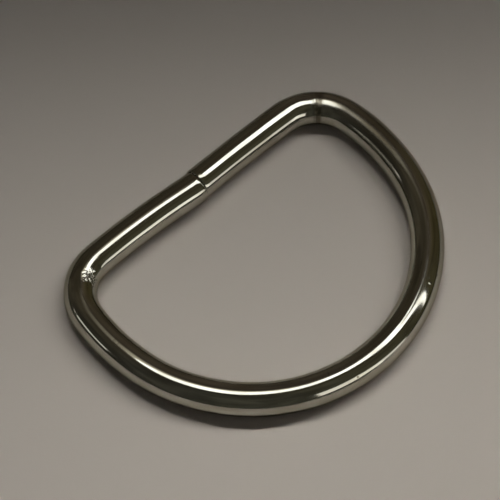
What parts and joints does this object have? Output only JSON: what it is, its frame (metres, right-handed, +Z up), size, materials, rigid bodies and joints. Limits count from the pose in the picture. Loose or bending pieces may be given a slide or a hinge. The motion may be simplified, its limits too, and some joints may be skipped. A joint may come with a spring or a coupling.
{
  "type": "d ring",
  "caption": "Bent round-wire D ring with an unwelded butt joint in its straight bar, for joining a wide strap to a hook or second strap.",
  "frame": {"origin": "middle of the ring's outer box, on the surface that the ring lies on", "axes": "+Z up through the wire's thickness, X along the straight bar, -Y from the bar towards the top of the bow"},
  "size_m": [0.0614, 0.0468, 0.0053],
  "materials": {
    "nickel_plate": "bright nickel plate on steel wire, polished, with fine scratches and a few tool marks"
  },
  "bodies": {
    "root": {"wire_ring": "nickel_plate"}
  },
  "joints": []
}
